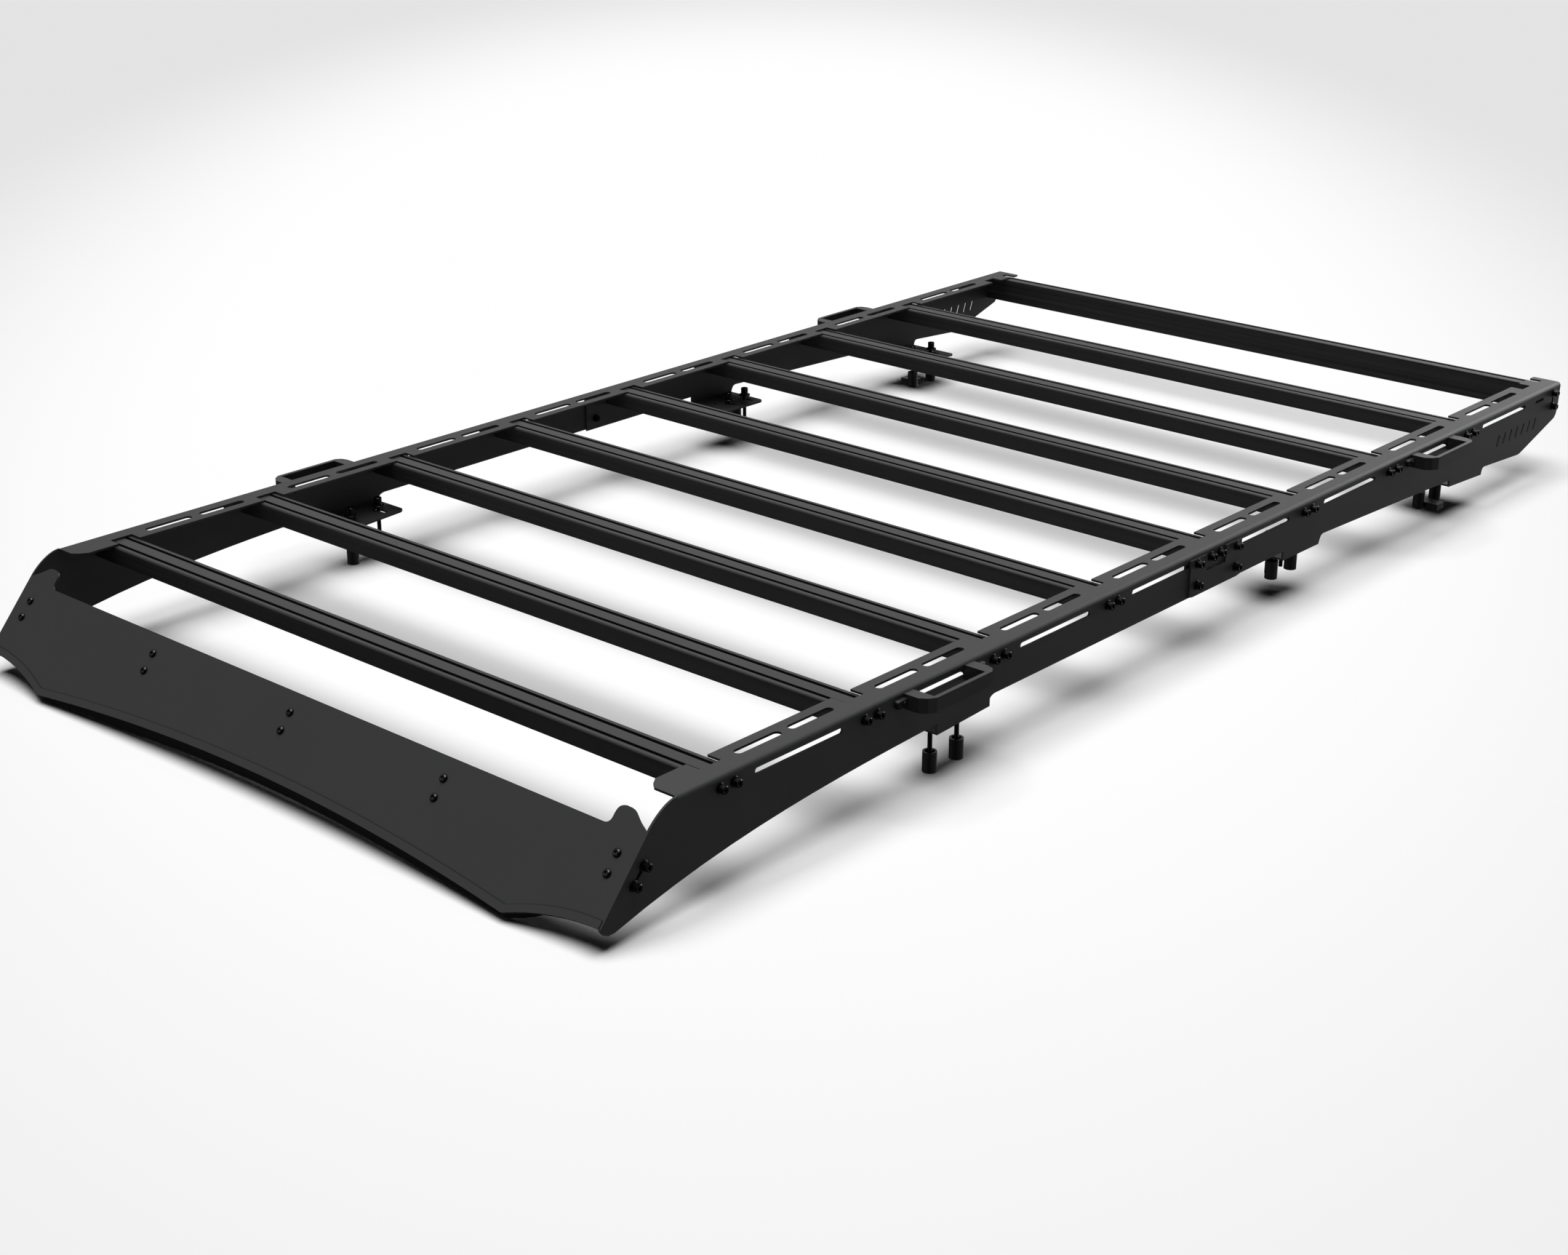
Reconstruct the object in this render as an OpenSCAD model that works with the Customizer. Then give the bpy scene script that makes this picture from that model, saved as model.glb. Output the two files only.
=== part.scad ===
// Full-length roof rack: two formed side rails, T-slot crossbars, a rear bar on edge,
// a wind fairing with an edge trim, side loops, splice plates and foot hardware.
// Millimetres. X is across the rack, Y runs to the rear, Z is up. The feet stand on Z = 0.

/* [Rails] */
// outside width over the two rails
rack_width = 1205; // [1100:5:1300]
// length of the rail's top flange
rack_length = 2183; // [1960:1:2400]
// height of the rail's top face over the floor
ride_height = 151; // [151:1:175]
// thickness of the rail sheet
sheet = 3; // [2.5:0.5:4]
// width of the rail's top flange
flange_width = 50; // [44:1:60]
// outside radius of the bend between web and flange
bend_radius = 6; // [5:0.5:8]
// depth of the web between the front foot and the middle foot
web_depth = 64; // [60:1:70]
// reach of the web's nose ahead of the flange
nose_reach = 122; // [115:1:125]
// drop of the nose tip below the top face
nose_drop = 129.5; // [128:0.5:132]
// depth of the web at the rear foot
rear_depth = 88; // [84:1:92]

/* [Crossbars] */
// first crossbar's centre behind the flange's front end
bar_first = 82; // [78:1:86]
// width of a crossbar
bar_width = 44; // [40:1:48]
// height of a crossbar
bar_height = 26; // [24:0.5:30]
// rounding of a crossbar's upper corners
bar_round = 3; // [2:0.5:4]
// rounding of a crossbar's lower corners
bar_foot_round = 1.5; // [1:0.5:3]
// distance between the two T-slots
tslot_pitch = 23.5; // [22:0.5:25]
// opening of a T-slot
tslot_open = 6; // [5:0.5:7]
// inside width of a T-slot
tslot_wide = 11; // [10:0.5:12]
// thickness of the lips over a T-slot
tslot_lip = 1.8; // [1.5:0.1:2.2]
// depth of a T-slot from the top face
tslot_deep = 7; // [6:0.5:8]
// bore of the screw ports in a crossbar's ends
port_bore = 5.2; // [4.5:0.1:6]
// rear bar's rear face ahead of the flange's rear end
rear_bar_inset = 13; // [10:1:20]
// what the last bay has over the others, from bar centre to the rear bar's face
rear_bay_extra = 38; // [34:1:42]

/* [Slots] */
// length of a tie-down slot in the flange
slot_length = 78; // [70:1:82]
// width of a tie-down slot in the flange
slot_width = 12; // [10:0.5:13]
// distance between the two tie-down slots of a bay
slot_pair = 93; // [90:1:96]
// slot centre line inside the rail's outer face
slot_inset = 29.5; // [28:0.5:32]
// length of the long slot in the web
web_slot_length = 154; // [148:1:158]
// height of the long slot in the web
web_slot_height = 7.5; // [6:0.5:9]
// centre of the long slot below the top face
web_slot_drop = 15.2; // [15:0.1:17]
// width of the groove in the rear bar's top face
rear_groove = 7; // [5:0.5:8]
// depth of the notch in the flange over a crossbar
notch_deep = 21; // [18:1:24]
// length of the notch in the flange over a crossbar
notch_long = 35.5; // [32:0.5:36]

/* [Feet] */
// front foot's front end behind the flange's front end
front_foot_y = 465; // [460:1:470]
// middle foot's front end behind the flange's middle
mid_foot_back = 193.5; // [188:0.5:199]
// rear foot's front end ahead of the flange's rear end
rear_foot_inset = 383; // [378:1:388]
// length of a foot tab along the rail
foot_length = 108; // [100:1:112]
// underside of the front foot below the top face
front_foot_drop = 83.5; // [82:0.5:86]
// underside of the middle foot below the top face
mid_foot_drop = 79; // [77:0.5:82]
// underside of the rear foot below the top face
rear_foot_drop = 96; // [94:0.5:98]
// inward reach of the front foot plate
front_reach = 64; // [60:1:70]
// inward reach of the middle foot plate
mid_reach = 83; // [78:1:88]
// inward reach of the rear foot plate
rear_reach = 104; // [100:1:110]
// distance between a foot's two studs
stud_pitch = 55; // [52:1:57]
// diameter of a foot stud
stud_bore = 6.4; // [6:0.1:7]
// outside diameter of a foot spacer
spacer_od = 19; // [17:0.5:20]
// height of a foot spacer
spacer_height = 28; // [26:1:30]
// bore of the cup in a spacer's top
spacer_cup = 13.5; // [12:0.5:14]
// depth of the cup in a spacer's top
spacer_cup_deep = 9; // [6:1:12]
// clearance of the middle spacers over the floor
mid_clear = 30; // [26:1:34]
// height of the block beside a rear spacer
block_height = 10; // [8:1:14]
// width of the block across the rack
block_width = 32; // [28:0.5:36]
// length of the block along the rack
block_length = 22; // [20:1:24]
// length of the cross slots in the foot plates
foot_slot = 30; // [26:1:32]

/* [Fairing] */
// slope of the fairing from level
fairing_slope = 49.5; // [48:0.5:51]
// straight lower edge's middle below the reference line
fairing_mid = 119; // [115:1:123]
// fall of the lower edge from the middle to the points
fairing_fall = 27; // [24:1:28]
// distance of the lower points from the centre
fairing_point = 462; // [450:2:480]
// lower edge at the rails below the reference line
fairing_side = 118; // [116:1:119]
// top edge below the reference line
fairing_top = 7; // [6:1:14]
// height of the ears above the reference line
ear_height = 19; // [15:1:22]
// width of an ear
ear_width = 53; // [48:1:58]
// width of the edge trim on the fairing's face
trim_width = 10.5; // [9:0.5:12]
// thickness of the edge trim's lips
trim_lip = 1.2; // [1:0.1:1.5]

/* [Loops] */
// front loop's front end behind the flange's front end
front_loop_y = 397; // [392:1:402]
// rear loop's front end ahead of the flange's rear end
rear_loop_inset = 524; // [519:1:529]
// length of a loop along the rail
loop_length = 138; // [130:1:144]
// outward reach of a loop
loop_reach = 39; // [36:1:44]
// height of a loop
loop_height = 20; // [18:1:22]
// width of a loop's legs
loop_leg = 18; // [16:1:22]
// thickness of a loop's outer bar
loop_bar = 6; // [5:0.5:8]

/* [Splice] */
// length of the outer splice plate
splice_length = 132; // [126:1:138]
// length of the inner splice plate
inner_length = 140; // [134:1:146]

/* [Display] */
// node to draw

/* [Hidden] */
$fn = 32;
bar_count = 8;
half = rack_width / 2;
inner = half - sheet;
rear_bar_y = rack_length - rear_bar_inset - bar_height;
bar_pitch = (rear_bar_y - rear_bay_extra - bar_first) / bar_count;
mid_foot_y = rack_length / 2 + mid_foot_back;
rear_foot_y = rack_length - rear_foot_inset;
rear_loop_y = rack_length - rear_loop_inset;
// the bar ends are chamfered on top to clear the inside of the rail's bend
end_chamfer = bend_radius - sheet + 0.4;
slope_c = cos(fairing_slope);
slope_s = sin(fairing_slope);
// start of the fairing's reference line on the web's front edge
ref_y = -45;
ref_z = -28;
point_v = fairing_mid + fairing_fall;
front_most = ref_y - point_v * slope_c - trim_lip * slope_s;
shift_y = -(front_most + rack_length) / 2;
shift_z = ride_height;
bay_mid = bar_first + bar_pitch / 2;
mid_splice = bar_first + 4 * bar_pitch;
front_stud_y = front_foot_y + 54;
mid_stud_y = mid_foot_y + 54.5;
rear_stud_y = rear_foot_y + 59;
front_stud_x = half - 31.5;
mid_stud_x = half - 33.5;
rear_stud_x = half - 66;
// the middle feet also carry two bare bolts each
mid_bolt_x = half - 51.5;
mid_bolt_y = [mid_foot_y + 44.5, mid_foot_y + 85];
// the cross slots in the foot plates reach further inwards than outwards
slot_shift = 5;
colour_rail = [0.13, 0.13, 0.13];
colour_bar = [0.18, 0.18, 0.18];
colour_steel = [0.3, 0.3, 0.3];
colour_rubber = [0.06, 0.06, 0.06];

// moves a piece from the rack's own datum to the floor frame
module place() {
  translate([0, shift_y, shift_z]) children();
}

// draws a piece on the +X side, or mirrored on the other side
module side(right) {
  mirror([right ? 0 : 1, 0, 0]) children();
}

// a flat slot outline along x with rounded ends
module slot2d(length, width) {
  r = width / 2;
  square([length - width, width], center = true);
  for (s = [-1, 1])
    translate([s * (length / 2 - r), 0]) circle(r = r);
}

// a point on the curve from the flange's front end down to the web's sloping front edge
function brow(t) =
  pow(1 - t, 3) * [2, -1] + 3 * pow(1 - t, 2) * t * [-15, -1]
  + 3 * (1 - t) * t * t * [ref_y + 15 * slope_c, ref_z + 15 * slope_s] + t * t * t * [ref_y, ref_z];

// a place on the fairing's slope in the web's plane, down the slope and behind its face
function behind(down, back) =
  [ref_y - down * slope_c + back * slope_s, ref_z - down * slope_s - back * slope_c];

// lower edge of the web from the nose to the front foot
function nose_low(t) = -(web_depth + 4) - (nose_drop - web_depth - 4) * (0.295 * t + 0.705 * t * t * t);

// outline of the web in the Y-Z plane
module web_outline() {
  nose_len = front_foot_y + 100;
  steps = 12;
  fy = front_foot_y;
  fl = foot_length;
  my = mid_foot_y;
  ry = rear_foot_y;
  end = rack_length;
  difference() {
    polygon(concat(
      [[2, -bend_radius]], [for (i = [0 : 10]) brow(i / 10)],
      [[-nose_reach, ref_z - (nose_reach + ref_y) * slope_s / slope_c],
       [-nose_reach + 0.5, -nose_drop + 9], [-nose_reach + 5, -nose_drop + 3.5], [-nose_reach + 12, -nose_drop]],
      [for (i = [steps : -1 : 0]) [fy - nose_len * i / steps, nose_low(i / steps)]],
      [[fy, -front_foot_drop], [fy + fl, -front_foot_drop + 4.5], [fy + fl, -web_depth - 5],
       [fy + fl + 2.5, -web_depth - 2], [fy + fl + 9, -web_depth]],
      [[my, -web_depth], [my, -mid_foot_drop + 0.5], [my + fl - 6, -mid_foot_drop - 0.5],
       [my + fl - 3, -web_depth - 8], [my + fl, -web_depth - 3.5], [my + fl + 5, -web_depth - 1.5]],
      [[ry - 120, -rear_depth + 11], [ry, -rear_depth + 6], [ry, -rear_foot_drop + 3],
       [ry + fl + 4, -rear_foot_drop - 4], [ry + fl + 6, -rear_depth - 5], [ry + fl + 8, -rear_depth - 1.5],
       [ry + fl + 13, -rear_depth], [ry + 244, -rear_depth - 9], [ry + 252, -rear_depth - 8]],
      [[end - 12, -61], [end - 6, -55], [end - 2, -40], [end, -bend_radius]]));
    for (i = [0 : bar_count - 1])
      translate([bay_mid - 2.5 + i * bar_pitch, -web_slot_drop]) slot2d(web_slot_length, web_slot_height);
    translate([rear_bar_y - 38, -web_slot_drop - 1]) slot2d(30, 5);
    // slots for the rear bar's screws and the fairing bracket's screws
    translate([rear_bar_y + bar_height / 2, -sheet - bar_width / 2]) rotate(90)
      slot2d(tslot_pitch + 6, 5.5);
    translate(behind(46, 18)) rotate(fairing_slope) slot2d(25 + 6, 5.5);
    // plain slanted slots ahead of the rear bar
    for (i = [0 : 6])
      translate([end - 220 + 22 * i, -54]) rotate(70) slot2d(21, 5);
  }
}

// outline of the flange in plan, on the +X side
module flange_outline() {
  x0 = half - flange_width;
  x1 = half - bend_radius;
  corner = 16;
  difference() {
    polygon([[x1, 0], [x0 + corner, 0], [x0 + corner * 0.45, corner * 0.45], [x0, corner * 1.1],
             [x0, rack_length - 2], [x0 + 2, rack_length], [x1, rack_length]]);
    for (i = [0 : bar_count - 1]) {
      for (s = [-1, 1])
        translate([half - slot_inset, bay_mid + 4 + i * bar_pitch + s * slot_pair / 2])
          rotate(90) slot2d(slot_length, slot_width);
      translate([x0 - 1, bar_first + i * bar_pitch + bar_width / 2 - 1 - notch_long])
        square([notch_deep + 1, notch_long]);
    }
    translate([x0 - 1, rear_bar_y - 45.5]) square([notch_deep + 1, 28.5]);
    translate([x0 - 1, rack_length - 26]) square([notch_deep + 1, 12.5]);
  }
}

// one foot plate bent in from the web's lower edge, in rack datum
module foot_plate(y0, z0, z1, reach, length, slots, holes) {
  r = 10;
  difference() {
    intersection() {
      translate([half - reach, 0, 0]) rotate([90, 0, 90]) linear_extrude(reach)
        polygon([[y0, z0], [y0 + length, z1], [y0 + length, z1 + sheet], [y0, z0 + sheet]]);
      translate([0, 0, -ride_height]) linear_extrude(ride_height) {
        translate([half - reach + r, y0 - 1]) square([reach - r, length + 2]);
        translate([half - reach, y0 + r]) square([reach, length - 2 * r]);
        for (y = [y0 + r, y0 + length - r]) translate([half - reach + r, y]) circle(r = r);
      }
    }
    translate([0, 0, -ride_height]) linear_extrude(ride_height) {
      for (p = slots) translate([p[0] - slot_shift, p[1]]) slot2d(foot_slot, stud_bore);
      for (p = holes) translate(p) circle(d = stud_bore);
    }
  }
}

// the places of a foot's two studs in plan
function stud_places(x, y) = [[x, y - stud_pitch / 2], [x, y + stud_pitch / 2]];

module rail() {
  translate([inner, 0, 0]) rotate([90, 0, 90]) linear_extrude(sheet) web_outline();
  translate([0, 0, -sheet]) linear_extrude(sheet) flange_outline();
  translate([half - bend_radius, rack_length, -bend_radius]) rotate([90, 0, 0])
    linear_extrude(rack_length) intersection() {
      difference() {
        circle(r = bend_radius);
        circle(r = bend_radius - sheet);
      }
      square(bend_radius);
    }
  foot_plate(front_foot_y, -front_foot_drop, -front_foot_drop + 4.5, front_reach,
    foot_length, stud_places(front_stud_x, front_stud_y), []);
  foot_plate(mid_foot_y, -mid_foot_drop + 0.5, -mid_foot_drop - 0.5, mid_reach,
    foot_length - 6, [for (y = mid_bolt_y) [mid_bolt_x, y]], stud_places(mid_stud_x, mid_stud_y));
  foot_plate(rear_foot_y, -rear_foot_drop + 3, -rear_foot_drop - 4, rear_reach,
    foot_length + 4, stud_places(rear_stud_x, rear_stud_y), []);
}

module right_rail() color(colour_rail) place() rail();
module left_rail() color(colour_rail) place() side(false) rail();

// outer doubler over the web, cut out round the crossbar's two bolts
module outer_splice() {
  translate([half, 0, 0]) rotate([90, 0, 90]) linear_extrude(sheet) difference() {
    translate([mid_splice, 0]) polygon([[-splice_length / 2, -8], [splice_length / 2, -8],
      [splice_length / 2, -web_depth + 2], [splice_length / 2 - 10, -web_depth + 0.5],
      [-splice_length / 2 + 8, -web_depth + 0.5], [-splice_length / 2, -web_depth + 2]]);
    translate([mid_splice - 25, -33]) square([50, 40]);
  }
}
module right_outer_splice() color(colour_rail) place() outer_splice();
module left_outer_splice() color(colour_rail) place() side(false) outer_splice();

// inner doubler behind the web, cut out round the crossbar's end
module inner_splice() {
  translate([inner - sheet, 0, 0]) rotate([90, 0, 90]) linear_extrude(sheet) difference() {
    translate([mid_splice - inner_length / 2, -web_depth - 2]) square([inner_length, web_depth - 8]);
    translate([mid_splice - bar_width / 2 - 0.5, -sheet - bar_height - 0.5])
      square([bar_width + 1, bar_height + 20]);
  }
}
module right_inner_splice() color(colour_rail) place() inner_splice();
module left_inner_splice() color(colour_rail) place() side(false) inner_splice();

// section of a crossbar, top face on y = 0, centred on x = 0
module bar_section() {
  w = bar_width / 2;
  h = bar_height;
  r = bar_round;
  f = bar_foot_round;
  wall = 2;
  floor_z = tslot_deep + wall;
  port_z = floor_z + port_bore / 2 + 0.8;
  difference() {
    union() {
      translate([-w + r, -h]) square([bar_width - 2 * r, h]);
      translate([-w, -h + f]) square([bar_width, h - r - f]);
      for (a = [-1, 1]) translate([a * (w - r), -r]) circle(r = r);
      for (a = [-1, 1]) translate([a * (w - f), -h + f]) circle(r = f);
      translate([-w + f, -h]) square([bar_width - 2 * f, r]);
    }
    for (s = [-1, 1]) translate([s * tslot_pitch / 2, 0]) {
      translate([-tslot_open / 2, -tslot_lip - 1]) square([tslot_open, tslot_lip + 2]);
      polygon([[-tslot_wide / 2, -tslot_lip], [tslot_wide / 2, -tslot_lip],
        [tslot_wide / 2, -tslot_deep + 2], [tslot_open / 2, -tslot_deep],
        [-tslot_open / 2, -tslot_deep], [-tslot_wide / 2, -tslot_deep + 2]]);
      translate([0, -port_z]) circle(d = port_bore);
    }
    inner_w = tslot_pitch / 2 - tslot_wide / 2 - wall;
    translate([-inner_w, -floor_z]) square([inner_w * 2, floor_z - wall]);
    polygon([[-inner_w, -floor_z - 2], [inner_w, -floor_z - 2], [w - wall - 5, -h + wall + 1],
      [w - wall - 6, -h + wall], [-w + wall + 6, -h + wall], [-w + wall + 5, -h + wall + 1]]);
    for (s = [-1, 1]) scale([s, 1])
      polygon([[w - wall, -tslot_lip - 2], [w - wall, -h + wall + 2], [w - wall - 1.6, -h + wall + 2],
        [w - wall - 1.6, -tslot_lip - 2]]);
  }
}

// section of the rear bar, with a groove in the narrow side that faces up
module rear_section() {
  w = bar_width / 2;
  difference() {
    union() {
      bar_section();
      translate([-w + 1, -bar_height + 5]) square([3.4, bar_height - 9.5]);
    }
    translate([-w - 1, -6 - rear_groove]) square([4.4, rear_groove]);
  }
}

// cuts both top corners off a bar's ends, for a bar between two distances
module trim_ends(y0, y1) {
  difference() {
    children();
    for (m = [0, 1]) mirror([m, 0, 0])
      translate([0, y1 + 1, -sheet]) rotate([90, 0, 0]) linear_extrude(y1 - y0 + 2)
        polygon([[inner - end_chamfer, 0], [inner - end_chamfer, 1], [inner + 1, 1],
          [inner + 1, -end_chamfer], [inner, -end_chamfer]]);
  }
}
module bar(i) {
  y = bar_first + i * bar_pitch;
  trim_ends(y - bar_width / 2, y + bar_width / 2)
    translate([-inner, y, -sheet]) rotate([90, 0, 90]) linear_extrude(2 * inner) bar_section();
}
module crossbar_1() color(colour_bar) place() bar(0);
module crossbar_2() color(colour_bar) place() bar(1);
module crossbar_3() color(colour_bar) place() bar(2);
module crossbar_4() color(colour_bar) place() bar(3);
module crossbar_5() color(colour_bar) place() bar(4);
module crossbar_6() color(colour_bar) place() bar(5);
module crossbar_7() color(colour_bar) place() bar(6);
module crossbar_8() color(colour_bar) place() bar(7);
module rear_crossbar() color(colour_bar) place()
  trim_ends(rear_bar_y, rear_bar_y + bar_height)
    translate([-inner, rear_bar_y + bar_height, -sheet - bar_width / 2]) rotate([90, 0, 90])
      linear_extrude(2 * inner) rotate(-90) rear_section();

// lower edge of the fairing down the slope, for a distance x from the centre
function low_v(x) = x < fairing_point
  ? fairing_mid + fairing_fall * pow(x / fairing_point, 2)
  : fairing_side + (point_v - fairing_side) * pow((inner - x) / (inner - fairing_point), 2);

// half of the fairing's lower edge as points, raised by a set amount
function low_points(up) = concat(
  [for (i = [0 : 14]) [fairing_point * i / 14, -low_v(fairing_point * i / 14) + up]],
  [for (i = [1 : 8]) let (x = fairing_point + (inner - fairing_point) * i / 8) [x, -low_v(x) + up]]);

function reversed(list) = [for (i = [len(list) - 1 : -1 : 0]) list[i]];

// a half outline joined to its own mirror image into one closed outline
function whole(list) = concat(list, [for (p = reversed(list)) if (p[0] > 0) [-p[0], p[1]]]);

// the fairing's face, its lower edge raised by a set amount
module fairing_face(up) {
  e = inner - ear_width;
  polygon(whole(concat(low_points(up),
    [[inner, 0], [inner - 4, 2.6], [inner - 8.5, 4.8], [inner - 13, 7.2], [inner - 18, 10.5],
     [inner - 22.5, 13.8], [inner - 25.5, 16], [inner - 29, ear_height - 1.1],
     [inner - 33, ear_height], [e + 12, ear_height + 0.2], [e + 8, ear_height - 0.6],
     [e + 4.5, ear_height - 2.2], [e + 2.2, ear_height - 4.4], [e + 0.8, ear_height - 7.2],
     [e, ear_height - 12], [e, -fairing_top + 8], [e - 0.8, -fairing_top + 4.6],
     [e - 2.8, -fairing_top + 1.9], [e - 5.6, -fairing_top + 0.4], [e - 9, -fairing_top]])));
}

// the trim's face band between two raised copies of the lower edge
module band(low, high) {
  a = low_points(low);
  b = low_points(high);
  mirrored_a = [for (p = reversed(a)) if (p[0] > 0) [-p[0], p[1]]];
  mirrored_b = [for (p = b) if (p[0] > 0) [-p[0], p[1]]];
  polygon(concat(mirrored_a, a, reversed(b), mirrored_b));
}

// tips the flat fairing outline into its slope
module tip(front, thick) {
  translate([0, ref_y, ref_z]) rotate([fairing_slope, 0, 0])
    translate([0, 0, front - thick]) linear_extrude(thick) children();
}
module wind_fairing() color(colour_rail) place()
  tip(0, sheet) fairing_face(4);
module fairing_trim() color(colour_rubber) place() {
  difference() {
    tip(trim_lip, sheet + 2 * trim_lip) band(0, trim_width);
    tip(0, sheet) band(4, trim_width + 5);
  }
}

// angle bracket between the fairing's back and the web
module fairing_bracket() {
  w = 46;
  translate([0, ref_y, ref_z]) rotate([fairing_slope, 0, 0]) {
    translate([inner - 40, -46 - w / 2, -2 * sheet]) linear_extrude(sheet) square([40, w]);
    translate([inner - sheet, -46 - w / 2, -2 * sheet - 30]) linear_extrude(30) square([sheet, w]);
  }
}
module right_fairing_bracket() color(colour_rail) place() fairing_bracket();
module left_fairing_bracket() color(colour_rail) place() side(false) fairing_bracket();

// one solid side loop with its opening
module loop(y0) {
  translate([half, y0, -4.5 - loop_height]) linear_extrude(loop_height) difference() {
    polygon([[0, 0], [loop_reach - 16, 0], [loop_reach - 6, 7], [loop_reach, 17],
      [loop_reach, loop_length - 11], [loop_reach - 6, loop_length - 3], [loop_reach - 16, loop_length],
      [0, loop_length]]);
    translate([-1, loop_leg]) square([loop_reach - loop_bar + 1, loop_length - 2 * loop_leg]);
  }
}
module front_right_loop() color(colour_rail) place() loop(front_loop_y);
module front_left_loop() color(colour_rail) place() side(false) loop(front_loop_y);
module rear_right_loop() color(colour_rail) place() loop(rear_loop_y);
module rear_left_loop() color(colour_rail) place() side(false) loop(rear_loop_y);

// the two studs and two spacers of each foot
module stud_set(places, top, low) {
  for (m = [0, 1]) mirror([m, 0, 0])
    for (p = places)
      translate([p[0], p[1], low]) cylinder(d = stud_bore, h = top - low);
}
module spacer_set(x, y, low) {
  for (m = [0, 1]) mirror([m, 0, 0])
    for (s = [-1, 1])
      translate([x, y + s * stud_pitch / 2, low]) difference() {
        cylinder(d = spacer_od, h = spacer_height);
        translate([0, 0, -1]) cylinder(d = stud_bore, h = spacer_height + 2);
        translate([0, 0, spacer_height - spacer_cup_deep]) cylinder(d = spacer_cup, h = spacer_height);
      }
}
module front_foot_studs() color(colour_steel) place()
  stud_set(stud_places(front_stud_x, front_stud_y), -front_foot_drop + sheet + 10.5, -ride_height + 6);
module middle_foot_studs() color(colour_steel) place() {
  stud_set(stud_places(mid_stud_x, mid_stud_y), -mid_foot_drop + sheet, -ride_height + mid_clear + 6);
  stud_set([for (y = mid_bolt_y) [mid_bolt_x, y]], -mid_foot_drop + sheet + 7, -ride_height + mid_clear - 2);
}
module rear_foot_studs() color(colour_steel) place()
  stud_set(stud_places(rear_stud_x, rear_stud_y), -rear_foot_drop + sheet + 7, -ride_height + 6);
module front_foot_spacers() color(colour_steel) place()
  spacer_set(front_stud_x, front_stud_y, -ride_height);
module middle_foot_spacers() color(colour_steel) place()
  spacer_set(mid_stud_x, mid_stud_y, -ride_height + mid_clear);
module rear_foot_spacers() color(colour_steel) place()
  spacer_set(rear_stud_x, rear_stud_y, -ride_height);

// a low block on the floor behind each rear foot's first spacer, seated against it
module rear_foot_blocks() color(colour_rubber) place()
  for (m = [0, 1]) mirror([m, 0, 0]) translate([0, 0, -ride_height]) linear_extrude(block_height)
    difference() {
      translate([rear_stud_x, rear_stud_y - stud_pitch / 2 + 4.5]) square([block_width, block_length]);
      for (p = stud_places(rear_stud_x, rear_stud_y)) translate(p) circle(d = spacer_od);
    }

right_rail();
left_rail();
right_outer_splice();
left_outer_splice();
right_inner_splice();
left_inner_splice();
crossbar_1();
crossbar_2();
crossbar_3();
crossbar_4();
crossbar_5();
crossbar_6();
crossbar_7();
crossbar_8();
rear_crossbar();
wind_fairing();
fairing_trim();
right_fairing_bracket();
left_fairing_bracket();
front_right_loop();
front_left_loop();
rear_right_loop();
rear_left_loop();
front_foot_studs();
middle_foot_studs();
rear_foot_studs();
front_foot_spacers();
middle_foot_spacers();
rear_foot_spacers();
rear_foot_blocks();
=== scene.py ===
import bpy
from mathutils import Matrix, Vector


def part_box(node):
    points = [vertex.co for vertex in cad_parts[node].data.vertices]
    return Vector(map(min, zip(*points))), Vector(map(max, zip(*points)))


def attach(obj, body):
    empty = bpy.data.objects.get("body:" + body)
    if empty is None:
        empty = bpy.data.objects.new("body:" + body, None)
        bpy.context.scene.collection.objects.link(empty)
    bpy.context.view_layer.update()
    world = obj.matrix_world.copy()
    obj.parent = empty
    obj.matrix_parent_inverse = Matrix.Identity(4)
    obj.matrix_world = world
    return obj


bl_info = {
    "name": "Full-length roof rack",
    "version": (1, 0, 0),
    "blender": (4, 5, 0),
    "location": "3D View > Sidebar > Roof rack",
    "description": "Powder-coat finishes, screws, nuts and a plain studio for a roof rack",
    "category": "Object",
}

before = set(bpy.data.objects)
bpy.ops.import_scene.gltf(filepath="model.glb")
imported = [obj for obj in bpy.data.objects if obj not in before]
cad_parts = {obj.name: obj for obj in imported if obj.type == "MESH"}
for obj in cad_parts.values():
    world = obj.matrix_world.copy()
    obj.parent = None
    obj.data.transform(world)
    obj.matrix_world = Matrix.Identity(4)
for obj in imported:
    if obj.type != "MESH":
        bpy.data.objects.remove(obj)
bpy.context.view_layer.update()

import math

import bmesh
import bpy
from bpy.props import FloatProperty, FloatVectorProperty, IntProperty, PointerProperty
from mathutils import Euler, Matrix, Vector

MM = 0.001

CAMERA_PITCH = 0.380829637
CAMERA_BEARING = 0.726650237

# The rack's own datum: the flange's front end, its top face and the centre line.
RAIL_LOW, RAIL_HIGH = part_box("right_rail")
NOSE_REACH = 0.122
FRONT_Y = RAIL_LOW.y + NOSE_REACH
TOP_Z = RAIL_HIGH.z
WEB_X = RAIL_HIGH.x
SHEET = 0.003

# The crossbars' screw ports: half their spacing and their distance under the bar's top.
BARS = ["crossbar_%d" % i for i in range(1, 9)]
PORT_HALF = 11.75 * MM
PORT_DEEP = 12.4 * MM

# The fairing's sloping face, in mm: its upper edge, and the lower edge's arch and two outer
# curves, which meet the arch at its cusps.
SLOPE = math.radians(49.5)
FACE_Y, FACE_Z = -45.0, -28.0
CUSP_X = 462.0
TIP_X = 599.5
ARCH_DOWN, ARCH_DROP = 119.0, 27.0
TIP_DOWN, TIP_DROP = 118.0, 28.0
FAIRING_OUT = Vector((0, -math.sin(SLOPE), math.cos(SLOPE)))

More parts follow.
